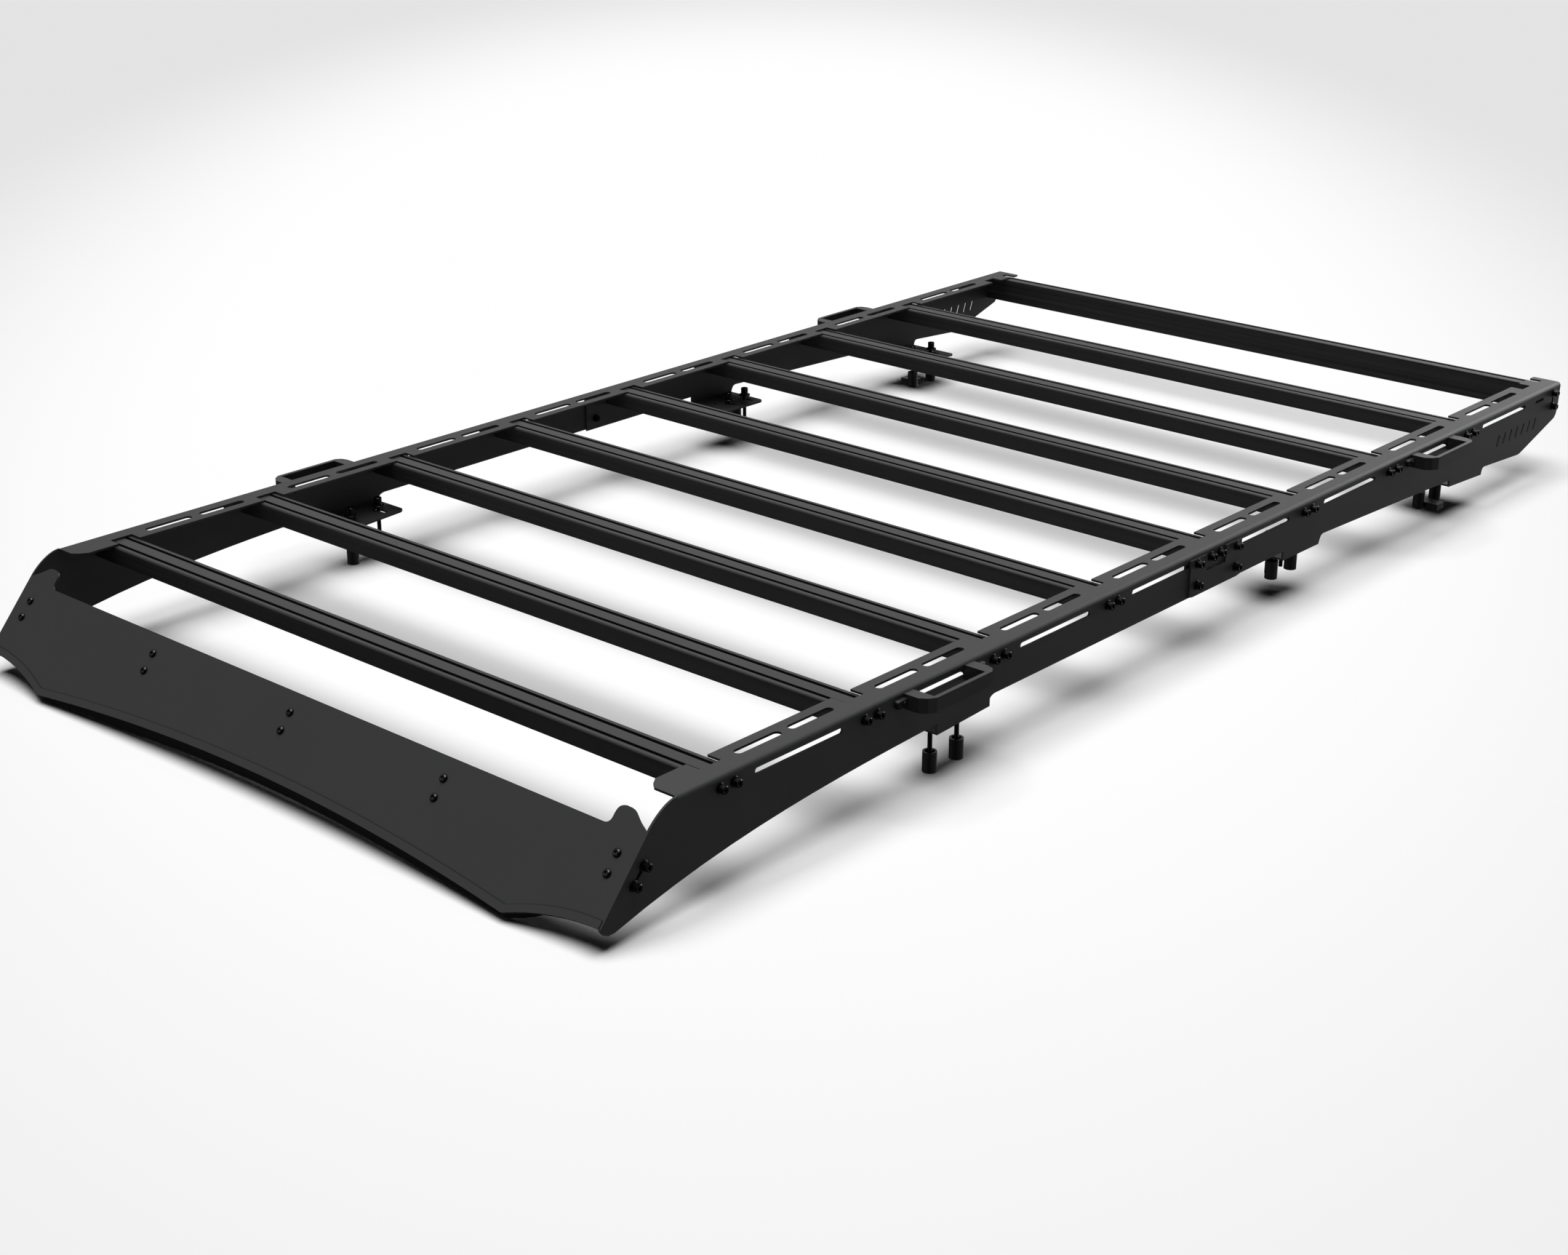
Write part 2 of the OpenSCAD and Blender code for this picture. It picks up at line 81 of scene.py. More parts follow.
# Screws, in mm. The fairing's go down its slope, and the brackets' stand behind its face.
FAIRING_SCREW_DOWN = (33.5, 58.5)
FAIRING_SCREW_X = (-575.5, -288, 0, 288, 575.5)
FAIRING_THICK, BRACKET_THICK = 3, 6
BRACKET_SCREW_BEHIND = 18
SPLICE_SCREW_Y = (1045, 1145.5)
SPLICE_SCREW_Z = (-15.5, -47.5)
SHORT_HEAD = 6 * MM
WASHER_HOLE = 3.2 * MM

# The loops of the near side, and how far their screws and pads lie from the legs' outer ends.
LOOPS = ("front_right_loop", "rear_right_loop")
LOOP_SCREW_IN = 9 * MM
LOOP_FOOT_OUT = 5.5 * MM

# Painted shade where the edge trim meets the sheet, in mm above the fairing's lower edge: the band
# of painted shade on the sheet, and the line above which the trim is shaded.
TRIM_SEAM_SHADE = (9.6, 11.2)
TRIM_GROOVE_SHADE = 9.8

# The painted shadow lip, a black sheet that stands in for the dark shade under the fairing, in mm:
# half its length, its points' spacing, how long its ends taper, how far its root lies above the
# fairing's lower edge and behind its face, and its sheet.
LIP_HALF, LIP_STEP, LIP_TAPER = 512, 16, 56
LIP_ABOVE, LIP_BEHIND = 2, 8
LIP_SHEET = 1.6 * MM
# The lip's three falls: how far each goes back and its share of the height.
LIP_FALLS = ((1 * MM, 0.5), (2 * MM, 0.35), (3 * MM, 0.15))

# The floor: half its width, and how far it lies under the feet.
FLOOR_SIZE = 40
FLOOR_DROP = 0.0003

# The studs with heads on top, in mm: distance from the middle, places along the rack and the
# plates' tops.
FOOT_HEADS = (
    (571.0, (491.5, 546.5), (-79.4, -77.1)),
    (551.0, (1329.5, 1370.0), (-75.9, -76.3)),
    (536.5, (1831.5, 1886.5), (-92.0, -95.4)),
)


def at(x, y, z):
    """A point of the rack's datum, in mm, as a place in the frame."""
    return Vector((x * MM, FRONT_Y + y * MM, TOP_Z + z * MM))


def on_fairing(x, down, behind=0.0):
    """A point on the fairing's face, a distance down its slope and behind it, in mm."""
    y = FACE_Y - down * math.cos(SLOPE) + behind * math.sin(SLOPE)
    z = FACE_Z - down * math.sin(SLOPE) - behind * math.cos(SLOPE)
    return at(x, y, z)


def edge_down(x):
    """How far down its slope the fairing's lower edge lies, x mm from the middle."""
    if x > CUSP_X:
        return TIP_DOWN + ((TIP_X - x) / (TIP_X - CUSP_X)) ** 2 * TIP_DROP
    return ARCH_DOWN + (x / CUSP_X) ** 2 * ARCH_DROP


# ---------------------------------------------------------------- sizes and colours


class RackHardware(bpy.types.PropertyGroup):
    """Sizes of the screws, washers and nuts."""

    head_radius: FloatProperty(
        name="Cap head radius", description="Radius of a cap screw's head",
        default=5.2 * MM, min=2 * MM, max=10 * MM, subtype="DISTANCE", unit="LENGTH")
    head_height: FloatProperty(
        name="Cap head height", description="Height of a cap screw's head",
        default=6.2 * MM, min=3 * MM, max=12 * MM, subtype="DISTANCE", unit="LENGTH")
    washer_radius: FloatProperty(
        name="Washer radius", description="Radius of a flat washer",
        default=7.0 * MM, min=4 * MM, max=14 * MM, subtype="DISTANCE", unit="LENGTH")
    washer_thickness: FloatProperty(
        name="Washer thickness", description="Thickness of a flat washer",
        default=1.6 * MM, min=0.5 * MM, max=3 * MM, subtype="DISTANCE", unit="LENGTH")
    button_radius: FloatProperty(
        name="Button head radius", description="Radius of the fairing's button heads",
        default=5.8 * MM, min=3 * MM, max=9 * MM, subtype="DISTANCE", unit="LENGTH")
    foot_washer_radius: FloatProperty(
        name="Foot washer radius", description="Radius of the wide washers over the foot plates",
        default=10.0 * MM, min=6 * MM, max=14 * MM, subtype="DISTANCE", unit="LENGTH")
    foot_head_radius: FloatProperty(
        name="Foot head radius", description="Radius of the foot screws' heads",
        default=6.2 * MM, min=4 * MM, max=9 * MM, subtype="DISTANCE", unit="LENGTH")
    foot_head_height: FloatProperty(
        name="Foot head height", description="Height of the foot screws' heads",
        default=12.0 * MM, min=5 * MM, max=16 * MM, subtype="DISTANCE", unit="LENGTH")
    foot_gap: FloatProperty(
        name="Foot gap", description="Height of the foot screws' washers over the foot plates",
        default=6.0 * MM, min=0.0, max=12 * MM, subtype="DISTANCE", unit="LENGTH")
    # The painted shadow lip's height, and the room that it leaves over the floor.
    shadow_lip_height: FloatProperty(
        name="Seal lip height", description="How far the fairing's seal lip hangs down",
        default=20.0 * MM, min=4 * MM, max=28 * MM, subtype="DISTANCE", unit="LENGTH")
    shadow_lip_clearance: FloatProperty(
        name="Seal lip clearance", description="Room that the seal lip leaves over the floor",
        default=4.0 * MM, min=0.0, max=20 * MM, subtype="DISTANCE", unit="LENGTH")
    loop_foot_size: FloatVectorProperty(
        name="Loop foot", description="Length, height and thickness of the loops' feet",
        default=(11 * MM, 25 * MM, 7 * MM), min=2 * MM, subtype="XYZ", unit="LENGTH")
    segments: IntProperty(
        name="Segments", description="Facets round a screw's head, a multiple of six",
        default=24, min=12, max=48)


class RackColours(bpy.types.PropertyGroup):
    """Base colours of the finishes."""

    rail: FloatVectorProperty(
        name="Rail coat", description="Colour of the rails' and fairing's powder coat",
        default=(0.0150, 0.0158, 0.0153), min=0, max=1, subtype="COLOR")
    bar: FloatVectorProperty(
        name="Bar coat", description="Colour of the crossbars' powder coat",
        default=(0.0150, 0.0152, 0.0156), min=0, max=1, subtype="COLOR")
    trim: FloatVectorProperty(
        name="Edge trim", description="Colour of the fairing's rubber edge trim",
        default=(0.0150, 0.0156, 0.0152), min=0, max=1, subtype="COLOR")
    hardware: FloatVectorProperty(
        name="Hardware", description="Colour of the blackened screws and nuts",
        default=(0.0012, 0.0012, 0.0013), min=0, max=1, subtype="COLOR")
    floor: FloatVectorProperty(
        name="Floor", description="Colour of the studio floor",
        default=(0.95, 0.95, 0.95), min=0, max=1, subtype="COLOR")


class RackStudio(bpy.types.PropertyGroup):
    """Camera and light."""

    camera_place: FloatVectorProperty(
        name="Camera", description="Where the camera stands",
        default=(2.32776, -2.78353, 1.33762), subtype="TRANSLATION", unit="LENGTH")
    camera_lens: FloatProperty(
        name="Lens", description="Focal length on a 36 mm sensor, in mm",
        default=56.832, min=20, max=200)
    overhead: FloatProperty(
        name="Overhead light", description="Strength of the soft light straight above",
        default=3.3, min=0, max=10)
    overhead_spread: FloatProperty(
        name="Overhead spread", description="How wide the overhead light looks from the floor",
        default=math.radians(54), min=0, max=math.pi, subtype="ANGLE", unit="ROTATION")
    panels: FloatProperty(
        name="Panels", description="Strength of the soft panels that the coats reflect",
        default=1.0, min=0, max=4)
    room_tone: FloatProperty(
        name="Room tone", description="How bright the room looks beyond the floor",
        default=0.86, min=0, max=1, subtype="FACTOR")
    # The painted pool of light on the floor: its middle, radii and turn, and the tone of the
    # painted vignette outside it.
    painted_light_centre: FloatVectorProperty(
        name="Pool centre", description="Middle of the pale pool on the floor",
        default=(-1.441, 1.395), size=2, subtype="XYZ", unit="LENGTH")
    painted_light_radii: FloatVectorProperty(
        name="Pool radii", description="Half length and half width of the pale pool",
        default=(4.0, 1.7), size=2, min=0.1, subtype="XYZ", unit="LENGTH")
    painted_light_turn: FloatProperty(
        # The bearing of the photograph's view, for which the painted pool of light was laid out.
        name="Pool turn", description="Bearing of the pool's length from +Y towards -X",
        default=0.72665, subtype="ANGLE", unit="ROTATION")
    painted_vignette_tone: FloatProperty(
        name="Outer tone", description="How bright the floor stays outside the pool",
        default=0.775, min=0, max=1, subtype="FACTOR")


# Soft panels that the coats reflect: elevation and bearing in degrees, tightness and strength.
# The bearing turns from +X towards +Y. The low ones stand for the bright floor, which glossy
# rays don't see. The strengths were fitted to the tones of the photograph's parts.
PANELS = (
    (32, 135, 12, 1.11),
    (32, 225, 12, 1.22),
    (9, 0, 24, 0.04),
    (9, 90, 24, 12.11),
    (9, 270, 24, 0.87),
    (-25, 0, 6, 0.13),
    (-25, 45, 6, 0.11),
    (-25, 225, 6, 0.13),
)

# The tone of the painted shade in the narrow gap between the edge trim and the sheet.
GAP_SHADE_BLACK = (0.002, 0.002, 0.002)


# ---------------------------------------------------------------- shader maths


class Wire:
    """A node socket that takes part in arithmetic."""

    def __init__(self, tree, socket):
        self.tree = tree
        self.socket = socket

    def math(self, operation, other=None):
        """The result of a sum, a power or a comparison with another value."""
        return self.tree.node("ShaderNodeMath", {"operation": operation}, [self, other]).out(0)

    def __add__(self, other): return self.math("ADD", other)
    def __radd__(self, other): return self.math("ADD", other)
    def __sub__(self, other): return self.math("SUBTRACT", other)
    def __rsub__(self, other): return self.flip("SUBTRACT", other)
    def __mul__(self, other): return self.math("MULTIPLY", other)
    def __pow__(self, other): return self.math("POWER", other)
    def __gt__(self, other): return self.math("GREATER_THAN", other)
    def __lt__(self, other): return self.math("LESS_THAN", other)

    def flip(self, operation, other):
        """The same with the other value first."""
        return self.tree.node("ShaderNodeMath", {"operation": operation}, [other, self]).out(0)

    def above(self, level):
        return self.math("MAXIMUM", level)

    def clamp(self):
        return self.tree.node("ShaderNodeClamp", {}, [self, 0.0, 1.0]).out(0)


class Node:
    """A made node, whose outputs come back as wires."""

    def __init__(self, tree, node):
        self.tree = tree
        self.node = node

    def out(self, which=0):
        return Wire(self.tree, self.node.outputs[which])


class Finish:
    """A material or world node tree with one method that makes its nodes."""

    def __init__(self, owner):
        owner.use_nodes = True
        self.tree = owner.node_tree
        self.tree.nodes.clear()

    def node(self, kind, settings=None, values=None):
        """A new node, with its settings and the values or wires of its inputs."""
        node = self.tree.nodes.new(kind)
        for key, value in (settings or {}).items():
            setattr(node, key, value)
        pairs = values.items() if isinstance(values, dict) else enumerate(values or [])
        for key, value in pairs:
            if value is None:
                continue
            if isinstance(value, Wire):
                self.tree.links.new(value.socket, node.inputs[key])
            else:
                node.inputs[key].default_value = value
        return Node(self, node)

    def axes(self):
        """The three Object coordinates, apart."""
        coords = self.node("ShaderNodeTexCoord").out("Object")
        return self.node("ShaderNodeSeparateXYZ", {}, [coords])

    def place(self, scale=(1, 1, 1)):
        """The Object coordinates, scaled."""
        coords = self.node("ShaderNodeTexCoord").out("Object")
        return self.node("ShaderNodeMapping", {}, {"Vector": coords, "Scale": scale}).out(0)

    def noise(self, where, scale, detail=2.0, roughness=0.5):
        return self.node("ShaderNodeTexNoise", {}, {
            "Vector": where, "Scale": scale, "Detail": detail, "Roughness": roughness}).out(0)

    def blend(self, factor, first, second):
        """A mix of two colours, each a wire or three numbers."""
        ends = [c if isinstance(c, Wire) else (*c, 1) for c in (first, second)]
        return self.node("ShaderNodeMix", {"data_type": "RGBA"},
                         {"Factor": factor, 6: ends[0], 7: ends[1]}).out(2)

    def bump(self, height, strength, distance):
        return self.node("ShaderNodeBump", {}, {
            "Strength": strength, "Distance": distance, "Height": height}).out(0)

    def body(self, values):
        """A principled shader's output."""
        return self.node("ShaderNodeBsdfPrincipled", {}, values).out(0)

    def surface(self, values):
        """Gives the material one principled shader."""
        self.node("ShaderNodeOutputMaterial", {}, {"Surface": self.body(values)})


def shade(colour, k):
    """A colour times a number, up to white."""
    return tuple(min(1.0, c * k) for c in colour)


def above_edge(tree):
    """How far a point of the fairing lies above its lower edge, along the slope, in mm."""
    parts = tree.axes()
    x = parts.out(0).math("ABSOLUTE") * (1 / MM)
    y = (parts.out(1) - FRONT_Y) * (1 / MM) - FACE_Y
    z = (parts.out(2) - TOP_Z) * (1 / MM) - FACE_Z
    down = y * -math.cos(SLOPE) - z * math.sin(SLOPE)
    arch = (x * (1 / CUSP_X)) ** 2.0 * ARCH_DROP + ARCH_DOWN
    tip = ((TIP_X - x) * (1 / (TIP_X - CUSP_X))).above(0.0) ** 2.0 * TIP_DROP + TIP_DOWN
    outer = x > CUSP_X
    return arch + (tip - arch) * outer - down


def powder_coat(name, colour, grain=1100.0, roughness=0.46, shaded_seam=None):
    """Fine-textured satin powder coat on sheet metal, with painted shade in a seam at the edge trim
    where asked.
    """
    material = bpy.data.materials.new(name)
    tree = Finish(material)
    here = tree.place()
    fine = tree.noise(here, grain, 2.0, 0.55)
    broad = tree.noise(here, 9.0, 3.0, 0.5)
    speck = (tree.noise(here, grain * 0.45, 1.0) - 0.62).clamp() * 5.0
    tone = (broad * 0.7 + fine * 0.3).clamp()
    base = tree.blend(tone, shade(colour, 0.82), shade(colour, 1.2))
    rough = roughness + (fine - 0.5) * 0.16 + (broad - 0.5) * 0.06
    bump = tree.bump(fine + speck * 0.4, 0.55, 0.00006)
    satin = tree.body({
        "Base Color": base, "Roughness": rough, "Normal": bump, "Specular IOR Level": 0.5})
    if shaded_seam:
        # Painted shade: in the seam's band the coat is mixed over half way to a black matte shader.
        high = above_edge(tree)
        inside = (high > shaded_seam[0]) * (high < shaded_seam[1])
        dark = tree.body({
            "Base Color": (*GAP_SHADE_BLACK, 1), "Roughness": 0.9, "Specular IOR Level": 0.1})
        satin = tree.node("ShaderNodeMixShader", {}, [inside * 0.55, satin, dark]).out(0)
    tree.node("ShaderNodeOutputMaterial", {}, {"Surface": satin})
    return material


def drawn_coat(name, colour, roughness=0.42):
    """Powder coat over extruded aluminium, with die lines, and broader bands along X that are both
    a bump and painted streaks of reflection in the colour.
    """
    material = bpy.data.materials.new(name)
    tree = Finish(material)
    lines = tree.noise(tree.place((1.2, 420, 420)), 1.0, 3.0, 0.6)
    here = tree.place()
    grain = tree.noise(here, 1000.0, 2.0)
    broad = tree.noise(here, 7.0, 2.0)
    bump_and_painted_streaks = tree.noise(tree.place((0.5, 0.0, 150)), 1.0, 1.0)
    tree.surface({
        # Painted reflection: the bands swing the colour from well under to well over the coat's
        # tone, as streaks of reflection; they also drive the bump.
        "Base Color": tree.blend(((bump_and_painted_streaks - 0.5) * 2.2 + lines * 0.6 + broad * 0.4).clamp(),
                                 shade(colour, 0.45), shade(colour, 1.6)),
        "Roughness": roughness + (lines - 0.5) * 0.14 + (grain - 0.5) * 0.08,
        "Normal": tree.bump(lines * 0.06 + grain * 0.06 + bump_and_painted_streaks, 0.8, 0.0009),
        "Specular IOR Level": 0.5,
    })
    return material


def black_oxide(name, colour, thread=False, roughness=0.2):
    """Blackened steel, with a screw thread's ridges where asked."""
    material = bpy.data.materials.new(name)
    tree = Finish(material)
    here = tree.place()
    grain = tree.noise(here, 1600.0, 2.0)
    worn = tree.noise(here, 160.0, 3.0, 0.6)
    height = grain * 0.25
    distance = 0.00004
    if thread:
        pitch = 1.0 * MM
        height = (tree.axes().out(2) * (2 * math.pi / pitch)).math("SINE") * 0.5 + 0.5
        distance = 0.0003
    tree.surface({
        "Base Color": tree.blend(worn, shade(colour, 0.7), shade(colour, 1.7)),
        "Roughness": roughness + (worn - 0.5) * 0.14,
        "Metallic": 0.0,
        "Specular IOR Level": 0.4,
        "Normal": tree.bump(height, 0.7, distance),
    })
    return material


def edge_rubber(name, colour):
    """Matte rubber with a fine pebble, with painted shade in the groove where the edge trim meets
    the sheet.
    """
    material = bpy.data.materials.new(name)
    tree = Finish(material)
    here = tree.place()
    pebble = tree.node("ShaderNodeTexVoronoi", {}, {"Vector": here, "Scale": 1300.0}).out(0)
    dust = tree.noise(here, 30.0, 4.0, 0.6)
    # Painted shade: the trim above the groove line is darkened half way to black and made rougher.
    groove_shade = (above_edge(tree) > TRIM_GROOVE_SHADE) * 0.5
    tone = tree.blend(dust, shade(colour, 0.85), shade(colour, 1.25))
    tree.surface({
        "Base Color": tree.blend(groove_shade, tone, GAP_SHADE_BLACK),
        "Roughness": 0.5 + (dust - 0.5) * 0.14 + groove_shade * 0.4,
        "Normal": tree.bump(pebble, 0.3, 0.00005),
        "Specular IOR Level": 0.5,
    })
    return material


def black_rubber(name, colour):
    """Matte black rubber with a faint bloom."""
    material = bpy.data.materials.new(name)
    tree = Finish(material)
    here = tree.place()
    bloom = tree.noise(here, 40.0, 4.0, 0.6)
    pebble = tree.noise(here, 1400.0, 2.0)
    tree.surface({
        "Base Color": tree.blend(bloom, shade(colour, 0.8), shade(colour, 2.0)),
        "Roughness": 0.75 + (bloom - 0.5) * 0.2,
        "Normal": tree.bump(pebble, 0.3, 0.00004),
        "Specular IOR Level": 0.3,
    })
    return material


def coat(node, material):
    """Gives a CAD node its finish."""
    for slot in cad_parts[node].material_slots:
        slot.material = material


# ---------------------------------------------------------------- turned parts


def stand(place, out):
    """The matrix that puts a part made along +Z at a place, pointing outwards."""
    return Matrix.Translation(place) @ Vector(out).to_track_quat("Z", "Y").to_matrix().to_4x4()


def turned(bm, profile, steps, rise=0.0, hexagon=None, closed=False):
    """Adds a profile of (radius, height) spun about Z and raised.
    The points at the hexagon's corner radius are drawn in to its flats."""
    body = bmesh.new()
    points = [body.verts.new((r, 0, z)) for r, z in profile]
    edges = [body.edges.new(pair) for pair in zip(points, points[1:])]
    if closed:
        edges.append(body.edges.new((points[-1], points[0])))
    bmesh.ops.spin(body, geom=points + edges, cent=(0, 0, 0), axis=(0, 0, 1),
                   angle=2 * math.pi, steps=steps, use_merge=True)
    bmesh.ops.remove_doubles(body, verts=body.verts[:], dist=1e-7)
    if hexagon:
        for v in body.verts:
            if abs(math.hypot(v.co.x, v.co.y) - hexagon) < 1e-6:
                turn = math.atan2(v.co.y, v.co.x) % (math.pi / 3) - math.pi / 6
                k = math.cos(math.pi / 6) / math.cos(turn)
                v.co.x *= k
                v.co.y *= k
    bmesh.ops.recalc_face_normals(body, faces=body.faces[:])
    bmesh.ops.translate(body, vec=(0, 0, rise), verts=body.verts[:])
    pour(body, bm)


def pour(body, bm):
    """Adds one bmesh to another and frees it."""
    mesh = bpy.data.meshes.new("body")
    body.to_mesh(mesh)
    body.free()
    bm.from_mesh(mesh)
    bpy.data.meshes.remove(mesh)


def washer(bm, rise, radius, thickness):
    """A flat washer with softened edges."""
    c = min(0.25 * MM, thickness / 4)
    turned(bm, [(WASHER_HOLE, 0), (radius - c, 0), (radius, c), (radius, thickness - c),
                (radius - c, thickness), (WASHER_HOLE, thickness)], 32, rise, closed=True)


def socket_head(bm, rise, r, h, key, segments):
    """A cap head with a hexagon socket."""
    c = 0.5 * MM
    turned(bm, [(0, 0), (r - c / 2, 0), (r, c / 2), (r, h - c), (r - c, h), (key * 1.1, h),
                (key, h - 0.25 * MM), (key, h * 0.45), (0, h * 0.38)], segments, rise, hexagon=key)


def cap_screw(bm, sizes, height):
    """A cap head with a hexagon socket, on a split washer and a flat washer."""
    flat = sizes.washer_thickness
    split = 1.8 * MM
    r = sizes.head_radius
    washer(bm, 0, sizes.washer_radius, flat)
    washer(bm, flat, r, split)
    socket_head(bm, flat + split, r, height, r * 0.56, sizes.segments)


def button_screw(bm, sizes):
    """A low domed head with a hexagon socket."""
    r = sizes.button_radius
    key = r * 0.42
    h = r * 0.62
    dome = [(r, 0.3 * MM), (r * 0.97, h * 0.36), (r * 0.88, h * 0.62),
            (r * 0.74, h * 0.84), (r * 0.58, h * 0.97)]
    socket = [(key * 1.12, h), (key, h - 0.2 * MM), (key, h * 0.35), (0, h * 0.3)]
    turned(bm, [(0, 0), (r * 0.97, 0)] + dome + socket, sizes.segments, hexagon=key)


def nut(bm, sizes):
    """A hexagon nut on a washer, with the screw's end standing out of it."""
    base = 1.2 * MM
    h = 5.5 * MM
    corner = 5.77 * MM
    rod = 2.9 * MM
    root = h - 1 * MM
    top = h + 3.0 * MM
    washer(bm, 0, sizes.washer_radius * 0.9, base)
    turned(bm, [(0, 0), (corner * 0.94, 0), (corner, 0.4 * MM), (corner, h - 0.6 * MM),
                (corner * 0.9, h), (3.3 * MM, h), (3.0 * MM, h - 0.4 * MM), (0, h - 0.4 * MM)],
           24, base, hexagon=corner)
    turned(bm, [(0, root), (rod, root), (rod, top - 0.6 * MM), (2.3 * MM, top), (0, top)],
           20, base)


def loop_foot(bm, sizes):
    """A rounded pad that stands on the web, with a domed edge and a low screw in its face."""
    long, tall, thick = sizes.loop_foot_size
    body = bmesh.new()
    bmesh.ops.create_cube(body, size=1.0)
    bmesh.ops.scale(body, vec=(tall, long, thick), verts=body.verts)
    bmesh.ops.translate(body, vec=(0, 0, thick / 2), verts=body.verts)
    upright = [e for e in body.edges if abs(e.verts[0].co.z - e.verts[1].co.z) > thick / 2]
    bmesh.ops.bevel(body, geom=upright, offset=long * 0.3, affect="EDGES",
                    segments=5, profile=0.5, material=-1)
    rim = [e for e in body.edges if min(v.co.z for v in e.verts) > thick * 0.99]
    bmesh.ops.bevel(body, geom=rim, offset=thick * 0.35, affect="EDGES",
                    segments=3, profile=0.5, material=-1)
    pour(body, bm)
    r = long * 0.3
    socket_head(bm, thick, r, 1.6 * MM, r * 0.5, sizes.segments)


def foot_head(bm, sizes):
    """A tall socket head on a wide washer."""
    thick = 2.0 * MM
    washer(bm, 0, sizes.foot_washer_radius, thick)
    r = sizes.foot_head_radius
    socket_head(bm, thick, r, sizes.foot_head_height, r * 0.5, sizes.segments)


def spread(bm, places, build, *values):
    """Adds one copy of a part at each place, with its Z turned to that place's outward way."""
    part = bmesh.new()
    build(part, *values)
    mesh = bpy.data.meshes.new("part")
    part.to_mesh(mesh)
    part.free()
    for place, out in places:
        start = len(bm.verts)
        bm.from_mesh(mesh)
        bm.verts.ensure_lookup_table()
        bmesh.ops.transform(bm, matrix=stand(place, out), verts=bm.verts[start:])
    bpy.data.meshes.remove(mesh)


def finish_piece(bm, name, material):
    """Turns a bmesh into a piece that rides on the rack."""
    mesh = bpy.data.meshes.new(name)
    bm.to_mesh(mesh)
    bm.free()
    for face in mesh.polygons:
        face.use_smooth = True
    mesh.set_sharp_from_angle(angle=math.radians(32))
    mesh.materials.append(material)
    piece = bpy.data.objects.new(name, mesh)
    bpy.context.scene.collection.objects.link(piece)
    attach(piece, "root")


def both_sides(point):
    """The point on the near rail and its mirror image on the far rail, with their outward ways."""
    return [(Vector(point), Vector((1, 0, 0))),
            (Vector((-point.x, point.y, point.z)), Vector((-1, 0, 0)))]


def inwards(point):
    """The same two places, with the ways turned to the rack's middle."""
    return [(place, -out) for place, out in both_sides(point)]


def hardware_finish():
    """The one finish of all screws and nuts, made at its first use."""
    colours = bpy.context.scene.rack_colours
    found = bpy.data.materials.get("blackened_screws")
    return found or black_oxide("blackened_screws", colours.hardware)


# ---------------------------------------------------------------- pieces


class RACK_OT_coats(bpy.types.Operator):
    """Powder-coats the rails, bars, plates and loops, and finishes the trim and foot hardware"""

    bl_idname = "rack.coats"
    bl_label = "Finish the rack's parts"

    def execute(self, context):
        colours = context.scene.rack_colours
        sheet_coat = powder_coat("rail_powder_coat", colours.rail)
        fairing_coat = powder_coat("fairing_powder_coat", colours.rail, 1000.0, 0.5, TRIM_SEAM_SHADE)
        bar_coat = drawn_coat("bar_powder_coat", colours.bar)
        loop_coat = powder_coat("loop_powder_coat", shade(colours.rail, 0.75), 900.0, 0.35)
        rubber = edge_rubber("trim_rubber", colours.trim)
        rod = black_oxide("threaded_rod", colours.hardware, thread=True)
        spacer = powder_coat("spacer_coat", shade(colours.hardware, 6.0), 1500.0, 0.4)
        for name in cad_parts:
            if "crossbar" in name:
                coat(name, bar_coat)
            elif name == "fairing_trim":
                coat(name, rubber)
            elif name == "wind_fairing":
                coat(name, fairing_coat)
            elif name.endswith("_loop"):
                coat(name, loop_coat)
            elif name.endswith("_studs"):
                coat(name, rod)
            elif name.endswith(("_spacers", "_blocks")):
                coat(name, spacer)
            else:
                coat(name, sheet_coat)
        return {"FINISHED"}


class RACK_OT_bar_screws(bpy.types.Operator):
    """Two cap screws through each web into each crossbar's end"""

    bl_idname = "rack.bar_screws"
    bl_label = "Crossbar screws"

    def execute(self, context):
        sizes = context.scene.rack_hardware
        places = []
        for name in BARS:
            low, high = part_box(name)
            middle = (low.y + high.y) / 2
            for side in (-1, 1):
                places += both_sides(Vector((WEB_X, middle + side * PORT_HALF, high.z - PORT_DEEP)))
        low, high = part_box("rear_crossbar")
        middle = (low.z + high.z) / 2
        for side in (-1, 1):
            places += both_sides(Vector((WEB_X, high.y - PORT_DEEP, middle + side * PORT_HALF)))
        bm = bmesh.new()
        spread(bm, places, cap_screw, sizes, sizes.head_height)
        finish_piece(bm, "crossbar_screws", hardware_finish())
        return {"FINISHED"}


class RACK_OT_splice_screws(bpy.types.Operator):
    """Four screws and nuts at the corners of each splice"""

    bl_idname = "rack.splice_screws"
    bl_label = "Splice screws"

    def execute(self, context):
        sizes = context.scene.rack_hardware
        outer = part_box("right_outer_splice")[1].x
        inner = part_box("right_inner_splice")[0].x
        heads = []
        nuts = []
        for y in SPLICE_SCREW_Y:
            for z in SPLICE_SCREW_Z:
                point = at(0, y, z)
                heads += both_sides(Vector((outer, point.y, point.z)))
                nuts += inwards(Vector((inner, point.y, point.z)))
        bm = bmesh.new()
        spread(bm, heads, cap_screw, sizes, SHORT_HEAD)
        spread(bm, nuts, nut, sizes)
        finish_piece(bm, "splice_screws", hardware_finish())
        return {"FINISHED"}


